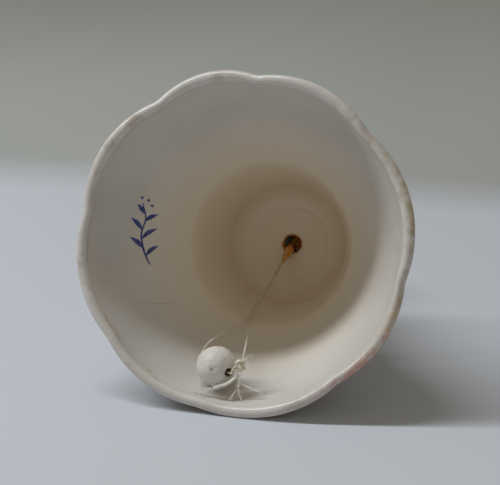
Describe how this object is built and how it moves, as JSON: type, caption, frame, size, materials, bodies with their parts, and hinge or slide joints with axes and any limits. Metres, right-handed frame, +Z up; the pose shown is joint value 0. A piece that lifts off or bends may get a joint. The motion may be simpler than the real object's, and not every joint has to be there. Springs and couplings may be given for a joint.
{
  "type": "porcelain hand bell",
  "caption": "Small porcelain hand bell with a scalloped mouth and a turned handle, lying on its side, a ceramic bead hung inside on a twisted thread as its clapper.",
  "frame": {"origin": "on the ground under the middle of the lying bell's box, clapper left out", "axes": "+Z up; +Y along the lying bell from its mouth to the tip of its handle; +X to the right of someone who looks into the mouth"},
  "size_m": [0.0738, 0.1208, 0.0715],
  "materials": {
    "porcelain": "warm white glazed porcelain",
    "glue": "dark amber glue, glossy where it is thick",
    "twisted_cotton": "tan twisted cotton thread",
    "cotton_strand": "pale cotton strand, frayed at its cut ends",
    "bisque": "matt white bead with worn glaze"
  },
  "bodies": {
    "bell": {"bell_body": "porcelain", "handle": "porcelain", "glue_collar": "glue"},
    "swivel": {"anchor_knot": "glue"},
    "clapper": {"soaked_thread_end": "glue", "twisted_thread": "twisted_cotton", "bead_strand": "cotton_strand", "return_strand": "cotton_strand", "tie_knot": "cotton_strand", "long_tail": "cotton_strand", "short_tail": "cotton_strand"},
    "bead": {"clapper_bead": "bisque"}
  },
  "joints": [
    {"name": "clapper_orbit", "type": "hinge", "parent": "bell", "child": "swivel", "pos_m": [0, 0.0043, 0.02069], "axis": [0, 0.962, -0.2732], "continuous": true},
    {"name": "clapper_swing", "type": "hinge", "parent": "swivel", "child": "clapper", "pos_m": [0, 0.0043, 0.02069], "axis": [0.9833, -0.0498, -0.1753], "range_deg": [-57.94, 0]},
    {"name": "bead_spin", "type": "hinge", "parent": "clapper", "child": "bead", "pos_m": [-0.00508, -0.05102, 0.00791], "axis": [0.7852, -0.6192, -0.0092], "continuous": true}
  ]
}
